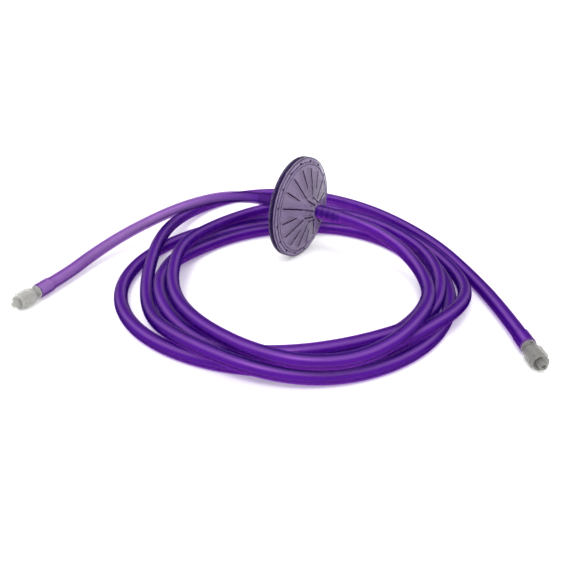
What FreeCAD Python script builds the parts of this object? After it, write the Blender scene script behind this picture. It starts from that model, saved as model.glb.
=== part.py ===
import FreeCAD, Part
import math
import os

# An in-line gas filter on its tubing: a flat round filter stands on its rim, a short tube and a
# long coiled tube are pushed onto its two barbs, and each tube ends in a male luer lock connector.
# Millimetres. Origin on the surface under the filter's middle, +Z up, +X along the filter's axis
# from its inlet to its outlet.

# Tube
TUBE_RADIUS = 4.0
TUBE_BORE = 2.5
ARC_SHARE = 0.45            # share of the shorter run that an arc takes up

# Filter housing
RIM_RADIUS = 33.0
FILTER_HEIGHT = RIM_RADIUS  # height of the filter's axis above the surface
STACK_HALF = 0.8            # half of the membrane and screens clamped between the two shells
FLANGE_FACE = 2.5           # outer face of each rim flange, from the middle plane
STEP_FACE = 3.4             # outer face of the raised step inside the flange
STEP_RADIUS = 29.8
CONE_RADIUS = 28.6          # foot of the conical face
CHAMBER_RADIUS = 27.6
CONE_TOP_FACE = 9.2         # outer face beside the hub
CONE_TOP_RADIUS = 7.0
WALL = 1.6
HUB_RADIUS = 5.2
HUB_FACE = 14.0             # shoulder that the tube is pushed up to
EDGE = 0.5                  # small chamfers
RIB_COUNT = 16
RIB_TURN = -17.0            # the first long rib, turned from straight up
RIB_INNER = 9.0
SHORT_RIB_INNER = 14.0      # every second rib starts further out
RIB_OUTER = 25.5
RIB_WIDTH = 1.0
RIB_CLEAR = 1.0             # inner edge of the ribs, from the middle plane
FIN_COUNT = 8               # gussets between the hub and the conical face
FIN_REACH = 8.6
FIN_WIDTH = 0.6

# Barbs inside the tube
BARB_RADIUS = 3.0
BARB_PITCH = 4.0
FILTER_BARBS = 4
LUER_BARBS = 2
BARB_NOSE = 2.1

# Membrane, screens and weld
MEMBRANE_RADIUS = 30.0
MEMBRANE_HALF = 0.2
WELD_INNER = 30.6
WELD_OUTER = 32.4
SCREEN_HOLE_RINGS = ((8.0, 8), (13.0, 14), (18.0, 20), (23.0, 24))
SCREEN_HOLE_RADIUS = 1.2
FILTER_LUMEN = 1.6

# Male luer lock connector, distances from the cut end of its tube
LUMEN = 1.2
NECK_RADIUS = 4.1
NECK_WAIST = 3.5
NECK_STEP = 0.7
NECK_LENGTH = 2.6
WING_REACH = 4.4
WING_WIDTH = 1.2
WING_COUNT = 4
JOURNAL_RADIUS = 2.70
JOURNAL_START = 2.8
JOURNAL_END = 7.1
RIDGE_RADIUS = 3.35
RIDGE_END = 7.9
TAPER_START = 10.7
TAPER_BASE = 2.22
TIP_RADIUS = 2.0
TIP_END = 18.2
COLLAR_BORE = 2.75
COLLAR_START = 2.95
COLLAR_WEB_END = 6.95
COLLAR_TAPER = 12.4         # where the skirt starts to narrow towards its open end
COLLAR_END = 15.0
COLLAR_END_RADIUS = 4.2
COLLAR_INNER = 3.9
COLLAR_OUTER = 4.65
COLLAR_SHOULDER = 3.6
LOBE_COUNT = 8
LOBE_RADIUS = 1.25
LOBE_CENTRE = 3.9
LOBE_START = 5.2
THREAD_MINOR = 3.5
THREAD_WIDTH = 0.9
THREAD_STARTS = (8.6, 10.8, 13.0)

# Coil: one ring-shaped solid round all the turns, an oval hole in an oval disc
COIL_TURNED = 33.0          # the ovals' own first axis, turned from +X
COIL_HEIGHT = 18.0
COIL_OUTER_CENTRE = (23.5, -44.0)
COIL_OUTER_REACH = (105.5, 101.0)
COIL_INNER_CENTRE = (23.5, -40.0)
COIL_INNER_REACH = (70.0, 80.0)
COIL_ROUNDING = 6.0

# Routes of the stretches that aren't coiled, chosen by hand
PIGTAIL_ROUTE = [
    (-14, 0, 33),
    (-46, 0, 33),
    (-79, -20, 25),
    (-101, -54, 12.5),
    (-104, -88, 6.5),
    (-98, -115, 5.2),
    (-95.5, -139.5, 5.2),
]
LEAD_ROUTE = [
    (HUB_FACE, 0, FILTER_HEIGHT),
    (42, 0, FILTER_HEIGHT),
    (68, 3, 23),
    (90, -10, 14.5),
    (101.5, -30, 11.5),
]
TAIL_ROUTE = [
    (-65.5, -65, 11),
    (-81, -40.5, 10.5),
    (-94.5, -9.5, 6),
    (-101, 26, 4),
    (-91.5, 58, 4),
    (-65.5, 82, 4),
    (-29.5, 92, 4),
    (8.5, 88, 4),
    (45.5, 73, 4),
    (79.5, 52, 4),
    (110, 24, 4),
    (140, -9.5, 5.2),
    (163.5, -40.5, 5.2),
]


def vec(*xyz):
    return FreeCAD.Vector(*xyz)


def save(name, shape):
    solids = shape.Solids
    if len(solids) == 1:
        shape = solids[0]
    shape.exportStep(os.path.join("parts", name + ".step"))
    print(f"{name}: {len(solids)} solid, {shape.Volume:.0f} mm3, valid {shape.isValid()}")


def turned(profile):
    """Solid turned about +X from a closed outline of (distance along X, radius)."""
    points = [vec(x, 0, r) for x, r in profile]
    face = Part.Face(Part.makePolygon(points + points[:1]))
    return face.revolve(vec(0, 0, 0), vec(1, 0, 0), 360)


def rod(radius, start, end, y=0.0, z=0.0):
    return Part.makeCylinder(radius, end - start, vec(start, y, z), vec(1, 0, 0))


def turned_about_axis(shape, angle):
    shape = shape.copy()
    shape.rotate(vec(0, 0, 0), vec(1, 0, 0), angle)
    return shape


def fan(shape, count):
    """Copies of a shape, spaced evenly round +X."""
    return [turned_about_axis(shape, index * 360.0 / count) for index in range(count)]


def barb_outline(root, direction, count):
    """Outline points of a barbed stem from its root at the shoulder out to its nose."""
    points = [(root, TUBE_BORE)]
    for index in range(count):
        ridge = root + direction * (index + 0.5) * BARB_PITCH
        points.append((ridge, TUBE_BORE))
        points.append((ridge, BARB_RADIUS))
        points.append((ridge + direction * 0.4 * BARB_PITCH, TUBE_BORE))
    points.append((root + direction * count * BARB_PITCH, BARB_NOSE))
    return points


# Filter

def filter_shell():
    """The outlet shell: rim flange, step, conical face with ribs inside, hub and barbed stem."""
    stem = barb_outline(HUB_FACE, 1, FILTER_BARBS)
    stem_end = stem[-1][0]
    profile = [
        (STACK_HALF, CHAMBER_RADIUS),
        (STACK_HALF, RIM_RADIUS - EDGE),
        (STACK_HALF + EDGE, RIM_RADIUS),
        (FLANGE_FACE - EDGE, RIM_RADIUS),
        (FLANGE_FACE, RIM_RADIUS - EDGE),
        (FLANGE_FACE, STEP_RADIUS),
        (STEP_FACE, STEP_RADIUS - EDGE),
        (STEP_FACE, CONE_RADIUS),
        (CONE_TOP_FACE, CONE_TOP_RADIUS),
        (CONE_TOP_FACE + 2 * EDGE, HUB_RADIUS),
        (HUB_FACE, HUB_RADIUS - EDGE),
    ]
    profile += stem
    profile += [
        (stem_end, FILTER_LUMEN),
        (CONE_TOP_FACE - WALL, FILTER_LUMEN),
        (CONE_TOP_FACE - WALL, CONE_TOP_RADIUS - WALL),
        (STEP_FACE - WALL, CHAMBER_RADIUS),
    ]
    shell = turned(profile)
    # Each rib fills the wedge between the membrane's side and the conical wall
    cone = Part.makeCone(CHAMBER_RADIUS, CONE_TOP_RADIUS - WALL / 2,
                         CONE_TOP_FACE - STEP_FACE, vec(STEP_FACE - WALL / 2, 0, 0), vec(1, 0, 0))
    inside = cone.fuse(rod(CHAMBER_RADIUS, RIB_CLEAR, STEP_FACE - WALL / 2))
    long_rib = turned_about_axis(filter_rib(RIB_INNER).common(inside), RIB_TURN)
    short_rib = turned_about_axis(filter_rib(SHORT_RIB_INNER).common(inside),
                                  RIB_TURN + 360.0 / RIB_COUNT)
    fin = turned_about_axis(hub_fin(), RIB_TURN)
    ribs = fan(long_rib, RIB_COUNT // 2) + fan(short_rib, RIB_COUNT // 2) + fan(fin, FIN_COUNT)
    return raised(shell.fuse(ribs).removeSplitter())


def filter_rib(inner):
    return Part.makeBox(CONE_TOP_FACE, RIB_WIDTH, RIB_OUTER - inner,
                        vec(RIB_CLEAR, -RIB_WIDTH / 2, inner))


def hub_fin():
    """Thin gusset from the conical face up the side of the hub."""
    profile = [(CONE_TOP_FACE - WALL / 2, HUB_RADIUS - WALL), (CONE_TOP_FACE - WALL / 2, FIN_REACH),
               (HUB_FACE - EDGE, HUB_RADIUS), (HUB_FACE - EDGE, HUB_RADIUS - WALL)]
    points = [vec(x, -FIN_WIDTH / 2, r) for x, r in profile]
    face = Part.Face(Part.makePolygon(points + points[:1]))
    return face.extrude(vec(0, FIN_WIDTH, 0))


def raised(shape):
    """Lift a piece of the filter from the axis it was built on to its own height."""
    shape = shape.copy()
    shape.translate(vec(0, 0, FILTER_HEIGHT))
    return shape


def mirrored(shape):
    return shape.mirror(vec(0, 0, FILTER_HEIGHT), vec(1, 0, 0))


def filter_membrane():
    return raised(rod(MEMBRANE_RADIUS, -MEMBRANE_HALF, MEMBRANE_HALF))


def support_screen():
    """Perforated disc that carries the membrane on the outlet side."""
    disc = rod(MEMBRANE_RADIUS, MEMBRANE_HALF, STACK_HALF)
    holes = []
    for ring_radius, count in SCREEN_HOLE_RINGS:
        hole = rod(SCREEN_HOLE_RADIUS, 0, 2 * STACK_HALF, z=ring_radius)
        holes += fan(hole, count)
    return raised(disc.cut(holes))


def weld_ring():
    ring = rod(WELD_OUTER, -STACK_HALF, STACK_HALF)
    return raised(ring.cut(rod(WELD_INNER, -STACK_HALF, STACK_HALF)))


# Connectors, built along +X from the cut end of the tube at the origin

def luer_body():
    stem = barb_outline(0, -1, LUER_BARBS)
    stem_end = stem[-1][0]
    profile = [(stem_end, LUMEN)]
    profile += reversed(stem)
    profile += [
        (0, NECK_RADIUS),
        (NECK_STEP, NECK_RADIUS),
        (NECK_LENGTH - NECK_STEP, NECK_WAIST),
        (NECK_LENGTH, NECK_WAIST),
        (JOURNAL_START, JOURNAL_RADIUS),
        (JOURNAL_END, JOURNAL_RADIUS),
        (JOURNAL_END, RIDGE_RADIUS),
        (RIDGE_END, RIDGE_RADIUS - EDGE),
        (TAPER_START, TAPER_BASE),
        (TIP_END, TIP_RADIUS),
        (TIP_END, LUMEN),
    ]
    body = turned(profile)
    wing = Part.makeBox(NECK_LENGTH - 2 * EDGE, WING_WIDTH, WING_REACH - LUMEN,
                        vec(EDGE, -WING_WIDTH / 2, LUMEN))
    wings = fan(wing, WING_COUNT)
    lumen = rod(LUMEN, stem_end, TIP_END)
    return body.fuse(wings).cut(lumen).removeSplitter()


def lock_collar():
    """Free-spinning collar: a web round the journal and a lobed skirt with thread ridges inside."""
    skin = turned([
        (COLLAR_START, 0),
        (COLLAR_START, COLLAR_SHOULDER),
        (LOBE_START, COLLAR_OUTER),
        (COLLAR_TAPER, COLLAR_OUTER),
        (COLLAR_END, COLLAR_END_RADIUS),
        (COLLAR_END, 0),
    ])
    lobe = rod(LOBE_RADIUS, LOBE_START, COLLAR_TAPER + EDGE, z=LOBE_CENTRE)
    outside = skin.fuse(fan(lobe, LOBE_COUNT))
    cavity = [(COLLAR_WEB_END, 0), (COLLAR_WEB_END, COLLAR_INNER)]
    for start in THREAD_STARTS:
        cavity += [
            (start, COLLAR_INNER),
            (start + EDGE, THREAD_MINOR),
            (start + THREAD_WIDTH, THREAD_MINOR),
            (start + THREAD_WIDTH + EDGE, COLLAR_INNER),
        ]
    cavity += [(COLLAR_END, COLLAR_INNER), (COLLAR_END, 0)]
    hollow = turned(cavity).fuse(rod(COLLAR_BORE, COLLAR_START, COLLAR_WEB_END + EDGE))
    return outside.cut(hollow).removeSplitter()


def at_tube_end(shape, route):
    """Place a connector piece on the end of a route, in line with its last run."""
    end = vec(*route[-1])
    heading = end - vec(*route[-2])
    shape = shape.copy()
    shape.Placement = FreeCAD.Placement(end, FreeCAD.Rotation(vec(1, 0, 0), heading))
    return shape


# Tubes

def path_wire(name, route):
    """Straight runs joined by tangent arcs. Prints the arcs' radii."""
    points = [vec(*point) for point in route]
    edges = []
    radii = []
    start = points[0]
    for before, corner, after in zip(points, points[1:], points[2:]):
        back = before - corner
        ahead = after - corner
        setback = ARC_SHARE * min(back.Length, ahead.Length)
        half_turn = (math.pi - back.getAngle(ahead)) / 2
        radius = setback / math.tan(half_turn)
        back.normalize()
        ahead.normalize()
        enter = corner + back * setback
        leave = corner + ahead * setback
        inward = (back + ahead).normalize()
        middle = corner + inward * (radius / math.cos(half_turn) - radius)
        edges.append(Part.LineSegment(start, enter).toShape())
        edges.append(Part.Arc(enter, middle, leave).toShape())
        radii.append(radius)
        start = leave
    edges.append(Part.LineSegment(start, points[-1]).toShape())
    print(name, "arc radii:", ", ".join(f"{radius:.0f}" for radius in radii))
    return Part.Wire(edges)


def swept(wire, radius):
    first = wire.Edges[0]
    start = first.valueAt(first.FirstParameter)
    heading = first.tangentAt(first.FirstParameter)
    section = Part.Wire(Part.makeCircle(radius, start, heading))
    return wire.makePipeShell([section], True, True)


def tube(name, route):
    wire = path_wire(name, route)
    shape = swept(wire, TUBE_RADIUS).cut(swept(wire, TUBE_BORE))
    expected = math.pi * (TUBE_RADIUS ** 2 - TUBE_BORE ** 2) * wire.Length
    print(f"{name}: length {wire.Length:.1f} mm, volume {shape.Volume:.0f}, "
          f"section x length {expected:.0f}")
    return shape


def oval(centre, reach, height):
    """Upright oval cylinder on the surface, its first reach along the coil's own first axis."""
    long_reach = max(reach)
    turn = COIL_TURNED if reach[0] == long_reach else COIL_TURNED + 90.0
    ellipse = Part.Ellipse(vec(0, 0, 0), long_reach, min(reach))
    face = Part.Face(Part.Wire(ellipse.toShape()))
    shape = face.extrude(vec(0, 0, height))
    shape.rotate(vec(0, 0, 0), vec(0, 0, 1), turn)
    shape.translate(vec(centre[0], centre[1], 0))
    return shape


def tube_coil():
    """Outer shape of all the turns together: a flat oval ring with rounded edges."""
    ring = oval(COIL_OUTER_CENTRE, COIL_OUTER_REACH, COIL_HEIGHT)
    ring = ring.cut(oval(COIL_INNER_CENTRE, COIL_INNER_REACH, COIL_HEIGHT))
    rims = [edge for edge in ring.Edges if edge.BoundBox.ZLength < EDGE]
    return ring.makeFillet(COIL_ROUNDING, rims)


os.makedirs("parts", exist_ok=True)

outlet_shell = filter_shell()
outlet_screen = support_screen()
save("outlet_shell", outlet_shell)
save("inlet_shell", mirrored(outlet_shell))
save("outlet_support_screen", outlet_screen)
save("inlet_support_screen", mirrored(outlet_screen))
save("filter_membrane", filter_membrane())
save("rim_weld_ring", weld_ring())

body = luer_body()
collar = lock_collar()
for end_name, end_route in (("inlet", PIGTAIL_ROUTE), ("outlet", TAIL_ROUTE)):
    save(end_name + "_luer_body", at_tube_end(body, end_route))
    save(end_name + "_lock_collar", at_tube_end(collar, end_route))

save("pigtail_tube", tube("pigtail_tube", PIGTAIL_ROUTE))
save("long_tube_lead", tube("long_tube_lead", LEAD_ROUTE))
save("long_tube_tail", tube("long_tube_tail", TAIL_ROUTE))
save("long_tube_coil", tube_coil())
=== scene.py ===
import math

import bmesh
import bpy
import numpy as np
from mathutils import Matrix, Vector


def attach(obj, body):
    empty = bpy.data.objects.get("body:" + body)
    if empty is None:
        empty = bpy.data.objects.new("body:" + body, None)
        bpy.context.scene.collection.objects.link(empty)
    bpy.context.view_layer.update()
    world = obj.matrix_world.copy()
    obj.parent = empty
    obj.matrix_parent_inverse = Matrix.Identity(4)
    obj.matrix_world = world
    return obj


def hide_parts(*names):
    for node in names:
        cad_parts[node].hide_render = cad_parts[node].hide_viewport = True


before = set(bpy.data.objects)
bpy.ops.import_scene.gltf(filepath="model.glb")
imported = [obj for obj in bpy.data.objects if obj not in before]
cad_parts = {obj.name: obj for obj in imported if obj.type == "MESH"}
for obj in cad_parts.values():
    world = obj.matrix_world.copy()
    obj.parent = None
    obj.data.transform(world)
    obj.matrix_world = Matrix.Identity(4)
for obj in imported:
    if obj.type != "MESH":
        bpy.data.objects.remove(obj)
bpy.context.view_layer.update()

MM = 0.001
scene = bpy.context.scene
scene.view_settings.view_transform = "Standard"

# ---------------------------------------------------------------- camera

CAMERA_TURN = math.radians(33.0)
CAMERA_PITCH = math.radians(28.0)
camera_data = bpy.data.cameras.new("camera")
camera_data.lens = 42.35
camera_data.sensor_width = 36.0
camera_data.clip_start = 0.01
camera = bpy.data.objects.new("camera", camera_data)
camera.location = (0.2108, -0.3472, 0.194)
camera.rotation_euler = (math.pi / 2 - CAMERA_PITCH, 0.0, CAMERA_TURN)
scene.collection.objects.link(camera)
scene.camera = camera

# ---------------------------------------------------------------- cord routes, in millimetres

TUBE_RADIUS = 4.0
TUBE_BORE = 2.5
HUB_FACE = 14.0
RIM_RADIUS = 33.0
FILTER_HEIGHT = RIM_RADIUS      # the filter stands on its rim

PIGTAIL_ROUTE = [
    (-14, 0, 33),
    (-46, 0, 33),
    (-79, -20, 25),
    (-101, -54, 12.5),
    (-104, -88, 6.5),
    (-98, -115, 5.2),
    (-95.5, -139.5, 5.2),
]
LEAD_ROUTE = [
    (14, 0, 33),
    (42, 0, 33),
    (68, 3, 23),
    (90, -10, 14.5),
    (101.5, -30, 11.5),
]
TAIL_ROUTE = [
    (-65.5, -65, 11),
    (-81, -40.5, 10.5),
    (-94.5, -9.5, 6),
    (-101, 26, 4),
    (-91.5, 58, 4),
    (-65.5, 82, 4),
    (-29.5, 92, 4),
    (8.5, 88, 4),
    (45.5, 73, 4),
    (79.5, 52, 4),
    (110, 24, 4),
    (140, -9.5, 5.2),
    (163.5, -40.5, 5.2),
]

# Where each turn of the coil runs, clockwise from above in steps of 30 degrees from the viewer's
# right: its distance from the coil's middle and its height. The first distances came from a
# separate calculation, and many were then changed by hand.
COIL_CENTRE = (23.3, -43.8)
COIL_STEP = 30
COIL_TURNS = [
    [None, (83, 13), (104, 14), (107, 12), (85, 14), (78, 13),
     (75, 14), (80, 12), (91, 11), (99, 12), (108, 5), (108, 4)],
    [(108, 4), (101, 12), (92, 4), (92, 4), (97, 4), (104, 4),
     (106, 4), (101, 4), (98, 4), (99, 4), (95, 11), (88, 11)],
    [(88, 11), (88, 4), (84, 11), (88, 11), (88, 4), (84, 11),
     (81, 12), (77, 4), (79, 4), (82, 4), (91, 4), (86, 4)],
    [(84, 4), (80, 4), (81, 4), (84, 4), (80, 4), (79, 4),
     (83, 4), (85, 4), (87, 4), (90, 4), (99, 4), (95, 4)],
    [(93, 4), (95, 4), (101, 4), (101, 4), (99, 11), (87, 4),
     (89, 4)],
]
POINTS_PER_TURN = 24


def coil_points():
    """Control points for all the turns, a smooth curve through the places above."""
    steps = []
    for number, turn in enumerate(COIL_TURNS):
        for index, place in enumerate(turn):
            if place is not None:
                steps.append((number * 360 + index * COIL_STEP, *place))
    steps = np.array(steps, float)
    points = []
    for angle in np.arange(steps[0, 0], steps[-1, 0] + 0.1, 360 / POINTS_PER_TURN):
        i = int(np.clip(np.searchsorted(steps[:, 0], angle, side="right") - 1, 0, len(steps) - 2))
        f = (angle - steps[i, 0]) / (steps[i + 1, 0] - steps[i, 0])
        a, b, c, d = (steps[min(max(i + k, 0), len(steps) - 1), 1:] for k in (-1, 0, 1, 2))
        reach, height = 0.5 * (2 * b + (c - a) * f + (2 * a - 5 * b + 4 * c - d) * f * f
                               + (3 * b - a - 3 * c + d) * f ** 3)
        turn = CAMERA_TURN - math.radians(angle)
        points.append((COIL_CENTRE[0] + reach * math.cos(turn),
                       COIL_CENTRE[1] + reach * math.sin(turn), max(height, TUBE_RADIUS)))
    return points


def spline_weights(count, per_span):
    """Weights that turn the control points of a clamped quadratic spline into points on it."""
    spans = count - 2
    knots = np.concatenate([[0, 0], np.arange(spans + 1), [spans, spans]]).astype(float)
    weights = []
    for place in np.linspace(0, spans - 1e-9, spans * per_span + 1):
        k = int(place) + 2
        row = np.zeros(count)
        left = (knots[k + 1] - place) / (knots[k + 1] - knots[k])
        w = [left, 1 - left]
        a = (knots[k + 1] - place) / (knots[k + 1] - knots[k - 1])
        b = (place - knots[k]) / (knots[k + 2] - knots[k])
        row[k - 2] = w[0] * a
        row[k - 1] = w[0] * (1 - a) + w[1] * (1 - b)
        row[k] = w[1] * b
        weights.append(row)
    return np.array(weights)


SETTLE_ROUNDS = 260
SETTLE_PARTS = 4                # places looked at in each span of the curve
STRAND_GAP = 8.1                # wanted between the middles of two strands
SAME_STRAND = 20                # places this near along the tube don't push each other
PULL_BACK = 0.06
STIFFNESS = 0.012
SINK = 0.02
HELD_AT_HUB = 3                 # points at each end that stay where they are
HELD_AT_LUER = 10


def settle(route, held):
    """Ease the turns apart where they overlap. The upper strand of a crossing moves most."""
    points = np.array(route, float)
    target = points.copy()
    weights = spline_weights(len(points), SETTLE_PARTS)
    order = np.arange(len(weights))
    apart = np.abs(order[:, None] - order[None, :]) > SAME_STRAND
    share = weights.T / (weights ** 2).sum(1)
    users = np.maximum((weights.T > 0).sum(1), 1)[:, None]
    for turn in range(SETTLE_ROUNDS):
        line = weights @ points
        offset = line[:, None] - line[None]
        distance = np.sqrt((offset ** 2).sum(-1)) + 1e-9
        touching = apart & (distance < STRAND_GAP)
        above = offset[..., 2] / distance
        depth = np.where(touching, (STRAND_GAP - distance) * (0.5 + 0.4 * above), 0)
        push = (offset / distance[..., None] * depth[..., None]).sum(1)
        push /= np.maximum(0.6 * touching.sum(1), 1)[:, None]
        push *= np.where(line[:, 2:] < 1.3 * TUBE_RADIUS, (0.4, 0.4, 1), 1)
        push[:, 2] += np.maximum(TUBE_RADIUS - line[:, 2], 0)
        move = share @ push / users * 2
        bend = np.zeros_like(points)
        bend[1:-1] = points[:-2] + points[2:] - 2 * points[1:-1]
        stiff = np.zeros_like(points)
        stiff[2:-2] = 2 * bend[2:-2] - bend[1:-3] - bend[3:-1]
        move += PULL_BACK * (1 - turn / SETTLE_ROUNDS) * (target - points) + STIFFNESS * stiff
        move[:, 2] -= SINK
        move[held] = 0
        points += move
        points[:, 2] = np.maximum(points[:, 2], TUBE_RADIUS)
    return points


def long_route():
    """The long tube's points from the filter to its luer, settled between its held ends."""
    points = np.array(LEAD_ROUTE + coil_points() + TAIL_ROUTE, float)
    held = np.zeros(len(points), bool)
    held[:HELD_AT_HUB] = True
    held[-HELD_AT_LUER:] = True
    return settle(points, held)


def spline_line(name, route):
    """Points along the smooth curve that a route's points control, in metres."""
    curve = bpy.data.curves.new(name + "_line", "CURVE")
    curve.dimensions = "3D"
    curve.resolution_u = 8
    spline = curve.splines.new("NURBS")
    spline.points.add(len(route) - 1)
    for point, place in zip(spline.points, route):
        point.co = (*(Vector(place) * MM), 1.0)
    spline.order_u = 3
    spline.use_endpoint_u = True
    holder = bpy.data.objects.new(name + "_line", curve)
    scene.collection.objects.link(holder)
    bpy.context.view_layer.update()
    mesh = bpy.data.meshes.new_from_object(holder)
    line = [vertex.co.copy() for vertex in mesh.vertices]
    bpy.data.objects.remove(holder)
    bpy.data.curves.remove(curve)
    bpy.data.meshes.remove(mesh)
    return line


# ---------------------------------------------------------------- tube meshes

RING = 48
CUT_BEVEL = 0.8
CUT_INSET = 0.5
CUT_FACE = 0.6                  # part of the bevel that shows as the cut edge
BARB_PITCH = 4.0
HUB_BARBS = 16.6                # how far a tube is pushed over the filter's hub
LUER_BARBS = 10.6               # and over a connector
OUTER_STRETCH = 0.45
BORE_STRETCH = 0.60
PAST_BARBS = 0.7                # the stretch ends this far past the barbs
EASE_LENGTH = 0.8
END_LENGTH = 24                 # at each end with extra stations, so that the stretch shows
END_PARTS = 9
UV_PER_METRE = 10
WALL, BORE, BARB_SHADE, CUT_EDGE_SHADE = range(4)      # a tube's materials, in their order on the mesh


def add_object(name, mesh, material):
    piece = bpy.data.objects.new(name, mesh)
    scene.collection.objects.link(piece)
    mesh.materials.append(material)
    mesh.polygons.foreach_set("use_smooth", [True] * len(mesh.polygons))
    return piece


def stretch(distance, reach, bore=False):
    """Extra radius at a distance from a cut end that is pushed over barbs, in millimetres."""
    if distance > reach + PAST_BARBS:
        return 0.0
    ease = min(max((reach + PAST_BARBS - distance) / EASE_LENGTH, 0.0), 1.0)
    ease = ease * ease * (3 - 2 * ease)
    depth = 0.14 if reach > 12 else 0.06
    ripple = depth * math.cos(2 * math.pi * (distance - 2.0) / BARB_PITCH)
    return ((BORE_STRETCH if bore else OUTER_STRETCH) + ripple) * ease


def tube_mesh(name, line, near_reach, far_reach):
    """A tube with its bore, along a line, stretched over the barbs at both ends."""
    places = [0.0]
    for a, b in zip(line, line[1:]):
        places.append(places[-1] + (b - a).length / MM)
    total = places[-1]
    stations = []
    for i, place in enumerate(places):
        stations.append((place, line[i]))
        if i + 1 < len(line):
            near_end = place < END_LENGTH or total - place < END_LENGTH
            parts = END_PARTS if near_end else 1
            for k in range(1, parts):
                f = k / parts
                stations.append((place + f * (places[i + 1] - place),
                                 line[i].lerp(line[i + 1], f)))
    bm = bmesh.new()
    uv = bm.loops.layers.uv.new("UVMap")
    centres = [s[1] for s in stations]
    normal = Vector((0, 0, 1))
    rings = []
    for i, (place, centre) in enumerate(stations):
        ahead = centres[min(i + 1, len(centres) - 1)] - centres[max(i - 1, 0)]
        ahead.normalize()
        normal = (normal - ahead * normal.dot(ahead)).normalized()
        side = ahead.cross(normal)
        outer_r = TUBE_RADIUS + stretch(place, near_reach) + stretch(total - place, far_reach)
        inner_r = (TUBE_BORE + stretch(place, near_reach, True)
                   + stretch(total - place, far_reach, True))
        edge = min(place, total - place)
        if edge < CUT_BEVEL:
            outer_r -= CUT_INSET * (1 - edge / CUT_BEVEL)
        ring = []
        for radius in (outer_r, inner_r):
            loop = []
            for k in range(RING):
                angle = 2 * math.pi * k / RING
                offset = (normal * math.cos(angle) + side * math.sin(angle)) * radius * MM
                loop.append(bm.verts.new(centre + offset))
            ring.append(loop)
        rings.append((place, ring))
    for (p0, a), (p1, b) in zip(rings, rings[1:]):
        for layer in (WALL, BORE):
            for k in range(RING):
                j = (k + 1) % RING
                quad = [a[layer][k], a[layer][j], b[layer][j], b[layer][k]]
                corners = [(k, p0), (k + 1, p0), (k + 1, p1), (k, p1)]
                if layer == BORE:
                    quad.reverse()
                    corners.reverse()
                face = bm.faces.new(quad)
                face.material_index = layer
                # Painted shade: the bore is darker where the tube sits over the barbs.
                if layer == BORE and p0 <= near_reach:
                    face.material_index = BARB_SHADE
                # Painted shade: the last of the bevel at the luer end is dark, for the dark line round
                # the cut end.
                if layer == WALL and total - p1 < CUT_FACE * CUT_BEVEL:
                    face.material_index = CUT_EDGE_SHADE
                for loop, (around, along) in zip(face.loops, corners):
                    loop[uv].uv = (around / RING, along * MM * UV_PER_METRE)
    for ring, flip in ((rings[0][1], True), (rings[-1][1], False)):
        for k in range(RING):
            j = (k + 1) % RING
            quad = [ring[0][k], ring[0][j], ring[1][j], ring[1][k]]
            if flip:
                quad.reverse()
            bm.faces.new(quad)
    bm.normal_update()
    mesh = bpy.data.meshes.new(name)
    bm.to_mesh(mesh)
    bm.free()
    return mesh, total


# ---------------------------------------------------------------- materials

def new_material(name):
    material = bpy.data.materials.new(name)
    material.use_nodes = True
    nodes = material.node_tree.nodes
    return material, nodes, material.node_tree.links, nodes["Principled BSDF"]


def add_noise(nodes, links, scale, detail=2.0):
    """Noise in the piece's own space."""
    place = nodes.new("ShaderNodeTexCoord")
    noise = nodes.new("ShaderNodeTexNoise")
    noise.inputs["Scale"].default_value = scale
    noise.inputs["Detail"].default_value = detail
    links.new(place.outputs["Object"], noise.inputs["Vector"])
    return noise.outputs["Fac"]


def add_ramp(nodes, links, source, stops):
    """Colour ramp through (position, rgb) stops."""
    ramp = nodes.new("ShaderNodeValToRGB")
    while len(ramp.color_ramp.elements) < len(stops):
        ramp.color_ramp.elements.new(0.5)
    for element, (position, color) in zip(ramp.color_ramp.elements, stops):
        element.position = position
        element.color = (*color, 1)
    links.new(source, ramp.inputs["Fac"])
    return ramp.outputs["Color"]


def add_bump(nodes, links, source, shader, strength, distance):
    bump = nodes.new("ShaderNodeBump")
    bump.inputs["Strength"].default_value = strength
    bump.inputs["Distance"].default_value = distance
    links.new(source, bump.inputs["Height"])
    links.new(bump.outputs["Normal"], shader.inputs["Normal"])


def see_through(material, solid, clear):
    """Let part of the light straight through a surface."""
    nodes, links = material.node_tree.nodes, material.node_tree.links
    straight = nodes.new("ShaderNodeBsdfTransparent")
    straight.inputs["Color"].default_value = (1, 1, 1, 1)
    mix = nodes.new("ShaderNodeMixShader")
    mix.inputs["Fac"].default_value = clear
    links.new(solid.outputs[0], mix.inputs[1])
    links.new(straight.outputs[0], mix.inputs[2])
    links.new(mix.outputs[0], nodes["Material Output"].inputs["Surface"])


def absorb(material, color, density):
    nodes, links = material.node_tree.nodes, material.node_tree.links
    volume = nodes.new("ShaderNodeVolumeAbsorption")
    volume.inputs["Color"].default_value = (*color, 1)
    volume.inputs["Density"].default_value = density
    links.new(volume.outputs[0], nodes["Material Output"].inputs["Volume"])


def blend_colors(nodes, links, kind, first, second):
    """Two colours multiplied or added, in full."""
    mix = nodes.new("ShaderNodeMix")
    mix.data_type = "RGBA"
    mix.blend_type = kind
    mix.inputs["Factor"].default_value = 1.0
    links.new(first, mix.inputs["A"])
    links.new(second, mix.inputs["B"])
    return mix.outputs["Result"]


def painted_shade_near_filter(nodes, links, color):
    """Painted shade: deepen a colour over the first 95 mm of a tube, where less light comes through."""
    place = nodes.new("ShaderNodeTexCoord")
    split = nodes.new("ShaderNodeSeparateXYZ")
    links.new(place.outputs["UV"], split.inputs[0])
    fade = add_ramp(nodes, links, split.outputs["Y"],
                    [(0.10, (0.20, 0.03, 0.52)), (0.95, (1.0, 1.0, 1.0))])
    return blend_colors(nodes, links, "MULTIPLY", color, fade)


FLANGE_START = 29.6
BLACK = (0.0, 0.0, 0.0)


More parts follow.
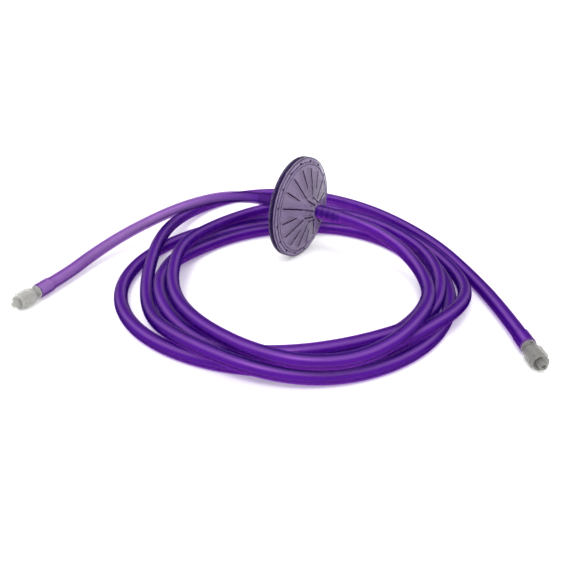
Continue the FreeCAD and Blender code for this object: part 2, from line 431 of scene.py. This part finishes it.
def painted_flange_light(nodes, links, color, extra):
    """Painted light: add a paler tint over the flange round the filter's face, where the thin plastic
    lets light in.
    """
    place = nodes.new("ShaderNodeTexCoord")
    centred = nodes.new("ShaderNodeVectorMath")
    centred.operation = "SUBTRACT"
    centred.inputs[1].default_value = (0, 0, FILTER_HEIGHT * MM)
    links.new(place.outputs["Object"], centred.inputs[0])
    across = nodes.new("ShaderNodeVectorMath")
    across.operation = "MULTIPLY"
    across.inputs[1].default_value = (0, 1, 1)
    links.new(centred.outputs["Vector"], across.inputs[0])
    radius = nodes.new("ShaderNodeVectorMath")
    radius.operation = "LENGTH"
    links.new(across.outputs["Vector"], radius.inputs[0])
    band = nodes.new("ShaderNodeMapRange")
    band.inputs["From Min"].default_value = FLANGE_START * MM
    band.inputs["From Max"].default_value = RIM_RADIUS * MM
    links.new(radius.outputs["Value"], band.inputs["Value"])
    tint = add_ramp(nodes, links, band.outputs["Result"],
                    [(0.0, BLACK), (0.2, extra), (0.75, extra), (0.9, BLACK)])
    return blend_colors(nodes, links, "ADD", color, tint)


def painted_tube_light(nodes, links, color, below, above):
    """Painted light: add the light that a pale table throws up into a tube, and a painted highlight
    stripe along its top.
    """
    geometry = nodes.new("ShaderNodeNewGeometry")
    split = nodes.new("ShaderNodeSeparateXYZ")
    links.new(geometry.outputs["Normal"], split.inputs[0])
    facing = nodes.new("ShaderNodeMapRange")
    facing.inputs["From Min"].default_value = -1.0
    facing.inputs["From Max"].default_value = 1.0
    links.new(split.outputs["Z"], facing.inputs["Value"])
    extra = add_ramp(nodes, links, facing.outputs["Result"],
                     [(0.28, below), (0.50, BLACK), (0.78, BLACK), (0.93, above), (1.0, BLACK)])
    return blend_colors(nodes, links, "ADD", color, extra)


def tubing_material(name, color, clear=0.0, gloss=0.0, glow=0.0, density=0.0, tint=(1, 1, 1),
                    with_filter_shade=False, below=None, above=None):
    """Soft translucent PVC: a little haze, fine ripples, an even sheen without bright edges."""
    material, nodes, links, shader = new_material(name)
    haze = add_noise(nodes, links, 60, 4.0)
    darker = tuple(0.8 * c for c in color)
    haze_and_painted_light = add_ramp(nodes, links, haze, [(0.3, darker), (0.7, color)])
    if with_filter_shade:
        haze_and_painted_light = painted_shade_near_filter(nodes, links, haze_and_painted_light)
    # Painted light: lighter underneath and a painted highlight on top, by which way the surface faces.
    if below:
        haze_and_painted_light = painted_tube_light(nodes, links, haze_and_painted_light, below, above)
    links.new(haze_and_painted_light, shader.inputs["Base Color"])
    # Painted light: the tube also glows in this colour, at glow strength.
    links.new(haze_and_painted_light, shader.inputs["Emission Color"])
    shader.inputs["Emission Strength"].default_value = glow
    shader.inputs["Roughness"].default_value = 0.4
    shader.inputs["Specular IOR Level"].default_value = 0.0
    add_bump(nodes, links, add_noise(nodes, links, 400), shader, 0.05, 0.0003)
    sheen = nodes.new("ShaderNodeBsdfGlossy")
    sheen.inputs["Color"].default_value = (0.70, 0.22, 1.0, 1)
    sheen.inputs["Roughness"].default_value = 0.3
    mix = nodes.new("ShaderNodeMixShader")
    mix.inputs["Fac"].default_value = gloss
    links.new(shader.outputs[0], mix.inputs[1])
    links.new(sheen.outputs[0], mix.inputs[2])
    see_through(material, mix, clear)
    if density:
        absorb(material, tint, density)
    return material


tubing = tubing_material("tubing", (0.032, 0.002, 0.205), clear=0.66, gloss=0.105, glow=0.6,
                         density=960, tint=(0.49, 0.04, 0.65), below=(0.16, 0.02, 0.26),
                         above=(0.17, 0.10, 0.17))
# Painted light: the bores are pale and opaque, for the light that comes through the middle of a tube.
tubing_bore = tubing_material("tubing_bore", (0.52, 0.16, 0.86), below=(0.48, 0.50, 0.14),
                              above=(0.30, 0.40, 0.10))
pigtail = tubing_material("pigtail", (0.18, 0.08, 0.33), clear=0.8, gloss=0.15, glow=0.1,
                          density=430, tint=(0.34, 0.02, 0.54), with_filter_shade=True)
# Painted light: a near-white bore, for the light through the middle of the pigtail.
pigtail_bore = tubing_material("pigtail_bore", (0.95, 0.82, 1.0), with_filter_shade=True)
# Painted shade: a darker bore over the barbs.
painted_barb_shade = tubing_material("painted_barb_shade", (0.10, 0.035, 0.30), gloss=0.05)
# Painted shade: a dark ring at the cut end.
cut_edge_shade = tubing_material("cut_edge_shade", (0.07, 0.025, 0.15), gloss=0.05)


def clear_material(name, color, rough=0.06, clear=0.0, level=0.3, flange=None):
    """Moulded plastic: base colour with slight cloudiness, part of the light straight through."""
    material, nodes, links, shader = new_material(name)
    cloud = add_noise(nodes, links, 90, 3.0)
    darker = tuple(0.88 * c for c in color)
    clouds_and_painted_light = add_ramp(nodes, links, cloud, [(0.35, darker), (0.65, color)])
    # Painted light on the flange, when a flange colour is given.
    if flange:
        clouds_and_painted_light = painted_flange_light(nodes, links, clouds_and_painted_light, flange)
    links.new(clouds_and_painted_light, shader.inputs["Base Color"])
    shader.inputs["IOR"].default_value = 1.49
    shader.inputs["Specular IOR Level"].default_value = level
    shader.inputs["Roughness"].default_value = rough
    add_bump(nodes, links, add_noise(nodes, links, 700), shader, 0.04, 0.0002)
    if clear:
        see_through(material, shader, clear)
    return material


def plain_material(name, color, rough, glow):
    """An even surface, with a glow that keeps shadows on it faint."""
    material, nodes, links, shader = new_material(name)
    shader.inputs["Base Color"].default_value = (*color, 1)
    shader.inputs["Roughness"].default_value = rough
    shader.inputs["Emission Color"].default_value = (*color, 1)
    shader.inputs["Emission Strength"].default_value = glow
    return material


# The housing's flange gets a band of painted light.
housing = clear_material("housing", (0.31, 0.235, 0.40), 0.10, 0.5, flange=(0.08, 0.07, 0.11))
# Near-black: on the weld ring, and as painted shade in the lines at the shell's corners and the band
# round the rim.
weld_and_shade_lines = clear_material("weld_and_shade_lines", (0.018, 0.006, 0.06), 0.2, 0.25, 0.05)
# Painted shade: the ribs, fins and pips are near-black, for the dark lines that these thin clear walls
# show.
painted_rib_shade = clear_material("painted_rib_shade", (0.010, 0.003, 0.022), 0.5, 0.0, 0.05)
membrane = clear_material("membrane", (0.62, 0.53, 0.70), 0.7, 0.0, 0.1)
screen = clear_material("screen", (0.60, 0.52, 0.70), 0.4, 0.4)
connector = clear_material("connector", (0.47, 0.465, 0.44), 0.3, 0.45, 0.25)
# Painted shade: a darker copy of the connector material, for the outlet's connector.
connector_painted_shade = clear_material("connector_painted_shade", (0.27, 0.265, 0.25), 0.3, 0.42, 0.25)
for node, material in {"rim_weld_ring": weld_and_shade_lines,
                       "filter_membrane": membrane, "inlet_support_screen": screen,
                       "outlet_support_screen": screen, "inlet_luer_body": connector,
                       "outlet_luer_body": connector_painted_shade, "inlet_lock_collar": connector,
                       "outlet_lock_collar": connector_painted_shade}.items():
    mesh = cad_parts[node].data
    mesh.materials.clear()
    mesh.materials.append(material)

# ---------------------------------------------------------------- filter housing

SIDES = 128
CORNER_STEPS = 3
RIB_COUNT = 16
RIB_TURN = -17.0


def rounded(outline, radius):
    """A closed outline with rounded corners, and a point off each so that flats stay flat."""
    points = [Vector(point) for point in outline]
    result = []
    for i, corner in enumerate(points):
        back = points[i - 1] - corner
        ahead = points[(i + 1) % len(points)] - corner
        cut = min(radius, 0.35 * back.length, 0.35 * ahead.length)
        enter = corner + back.normalized() * cut
        leave = corner + ahead.normalized() * cut
        result.append(corner + back.normalized() * 1.3 * cut)
        for k in range(CORNER_STEPS + 1):
            f = k / CORNER_STEPS
            result.append(enter.lerp(corner, f).lerp(corner.lerp(leave, f), f))
        result.append(corner + ahead.normalized() * 1.3 * cut)
    return result


def lathe(name, outline, side):
    """A closed (distance, radius) outline turned about the filter's axis, on side +1 or -1."""
    bm = bmesh.new()
    rings = []
    for x, r in outline:
        ring = []
        for k in range(SIDES):
            angle = 2 * math.pi * k / SIDES
            ring.append(bm.verts.new((side * x * MM, r * math.cos(angle) * MM,
                                      (FILTER_HEIGHT + r * math.sin(angle)) * MM)))
        rings.append(ring)
    for i, ring in enumerate(rings):
        other = rings[(i + 1) % len(rings)]
        for k in range(SIDES):
            j = (k + 1) % SIDES
            bm.faces.new((ring[k], ring[j], other[j], other[k]))
    bmesh.ops.recalc_face_normals(bm, faces=bm.faces)
    mesh = bpy.data.meshes.new(name)
    bm.to_mesh(mesh)
    bm.free()
    return mesh


# Outlines are (distance from the filter's middle plane, radius).
CONE_FOOT = (3.4, 28.6)
CONE_TOP = (9.2, 7.0)
SHELL = [
    (0.8, 27.6), (0.8, RIM_RADIUS), (2.5, RIM_RADIUS), (2.5, 29.8), (3.4, 29.8), CONE_FOOT, CONE_TOP,
    (10.2, 5.2), (14.0, 5.2), (14.0, 2.5), (16.0, 2.5), (16.0, 3.0), (17.6, 2.5), (20.0, 2.5),
    (20.0, 3.0), (21.6, 2.5), (24.0, 2.5), (24.0, 3.0), (25.6, 2.5), (28.0, 2.5), (28.0, 3.0),
    (29.6, 2.5), (30.0, 2.1), (30.0, 1.6), (7.6, 1.6), (7.6, 5.4), (1.8, 27.6),
]
CONE_SLOPE = (CONE_TOP[0] - CONE_FOOT[0]) / (CONE_FOOT[1] - CONE_TOP[1])
BAND = [(-2.1, 32.6), (-2.1, RIM_RADIUS), (0.3, RIM_RADIUS), (0.3, 32.6)]
LONG_RIB = (9.5, 26.3)          # inner and outer end
SHORT_RIB = (14.5, 26.3)
FIN_FOOT = 8.6


def cone_face(r):
    """Distance of the conical face from the middle plane, at a radius."""
    return CONE_TOP[0] - (r - CONE_TOP[1]) * CONE_SLOPE


def bar(bm, index, side, corners, half, taper=1.0):
    """A thin radial bar from (x, r) corners, anticlockwise, at one of the ribs' directions."""
    angle = 2 * math.pi * index / RIB_COUNT - math.radians(RIB_TURN)
    radial = Vector((0, math.sin(angle), math.cos(angle)))
    across = Vector((0, math.cos(angle), -math.sin(angle)))
    low = min(x for x, r in corners)
    layers = []
    for w in (-half, half):
        layer = []
        for x, r in corners:
            narrow = taper if x > low + 1 else 1.0
            place = radial * r + across * w * narrow + Vector((side * x, 0, FILTER_HEIGHT))
            layer.append(bm.verts.new(place * MM))
        layers.append(layer)
    bm.faces.new(layers[0])
    bm.faces.new(list(reversed(layers[1])))
    for k in range(len(corners)):
        j = (k + 1) % len(corners)
        bm.faces.new((layers[0][k], layers[1][k], layers[1][j], layers[0][j]))


def rib_mesh(name, side):
    """Radial ribs up to the conical face, fins on the hub's foot and pips inside the rim."""
    bm = bmesh.new()
    for index in range(RIB_COUNT):
        inner, outer = SHORT_RIB if index % 2 else LONG_RIB
        bar(bm, index, side, [(1.0, inner), (cone_face(inner) + 0.08, inner),
                              (cone_face(outer) + 0.18, outer), (1.0, outer)], 0.42, 0.9)
        bar(bm, index, side, [(2.3, 30.1), (2.7, 30.1), (2.7, 31.3), (2.3, 31.3)], 0.7)
        if index % 2 == 0:
            bar(bm, index, side, [(8.0, FIN_FOOT), (cone_face(FIN_FOOT) + 0.1, FIN_FOOT),
                                  (13.6, 5.35), (13.6, 5.0)], 0.3)
    bmesh.ops.recalc_face_normals(bm, faces=bm.faces)
    mesh = bpy.data.meshes.new(name)
    bm.to_mesh(mesh)
    bm.free()
    return mesh


def bead(x, r, thick):
    """Outline of a round bead, for the dark lines where light is trapped at the shell's corners."""
    return [(x + thick * math.cos(t * math.pi / 4), r + thick * math.sin(t * math.pi / 4))
            for t in range(8)]


for side, end in ((1, "outlet"), (-1, "inlet")):
    shell = add_object(end + "_housing", lathe(end + "_housing", rounded(SHELL, 0.45), side),
                       housing)
    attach(shell, "root")
    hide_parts(end + "_shell")
    ribs = add_object(end + "_ribs", rib_mesh(end + "_ribs", side), painted_rib_shade)
    ribs.data.polygons.foreach_set("use_smooth", [False] * len(ribs.data.polygons))
    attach(ribs, "root")
    # Painted shade: dark beads along the shell's corners.
    for label, outline in (("rim_edge", bead(2.2, 32.62, 0.36)),
                           ("step_edge", bead(2.5, 29.9, 0.22)),
                           ("face_edge", bead(3.38, 28.6, 0.18))):
        ring = add_object(f"{end}_{label}", lathe(f"{end}_{label}", outline, side),
                          weld_and_shade_lines)
        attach(ring, "root")
# Painted shade: a dark band round the rim's edge.
band = add_object("rim_band", lathe("rim_band", BAND, 1), weld_and_shade_lines)
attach(band, "root")

# ---------------------------------------------------------------- cords

for name, route, exit_x, wall, bore, nodes, far_nodes in (
        ("pigtail", np.array(PIGTAIL_ROUTE, float), -HUB_FACE, pigtail, pigtail_bore, ("pigtail_tube",),
         ("inlet_luer_body", "inlet_lock_collar")),
        ("long_tube", long_route(), HUB_FACE, tubing, tubing_bore,
         ("long_tube_lead", "long_tube_coil", "long_tube_tail"),
         ("outlet_luer_body", "outlet_lock_collar"))):
    line = spline_line(name, route)
    mesh, length = tube_mesh(name, line, HUB_BARBS, LUER_BARBS)
    print(name, "length", round(length, 1), "stations", len(line))
    piece = add_object(name, mesh, wall)
    mesh.materials.append(bore)
    mesh.materials.append(painted_barb_shade)
    mesh.materials.append(cut_edge_shade)
    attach(piece, "root")
    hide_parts(*nodes)

# ---------------------------------------------------------------- floor and light

FLOOR_SIZE = 3.0
SKY = 1.15

floor_mesh = bpy.data.meshes.new("floor")
bm = bmesh.new()
bmesh.ops.create_grid(bm, x_segments=8, y_segments=8, size=FLOOR_SIZE)
bm.to_mesh(floor_mesh)
bm.free()
floor = bpy.data.objects.new("floor", floor_mesh)
scene.collection.objects.link(floor)
floor_mesh.materials.append(plain_material("floor", (0.93, 0.93, 0.93), 0.7, 0.2))

world = bpy.data.worlds.new("studio")
world.use_nodes = True
world.node_tree.nodes["Background"].inputs["Color"].default_value = (1, 1, 1, 1)
world.node_tree.nodes["Background"].inputs["Strength"].default_value = SKY
scene.world = world


def sun(name, toward, strength, spread):
    """Even light over the whole floor, from a broad patch of sky."""
    data = bpy.data.lights.new(name, "SUN")
    data.energy = strength
    data.angle = math.radians(spread)
    light = bpy.data.objects.new(name, data)
    light.rotation_euler = (-Vector(toward)).to_track_quat("-Z", "Y").to_euler()
    scene.collection.objects.link(light)


sun("key", (0.1, -0.45, 0.9), 1.2, 20)
sun("fill", (-0.7, 0.3, 0.8), 0.25, 40)
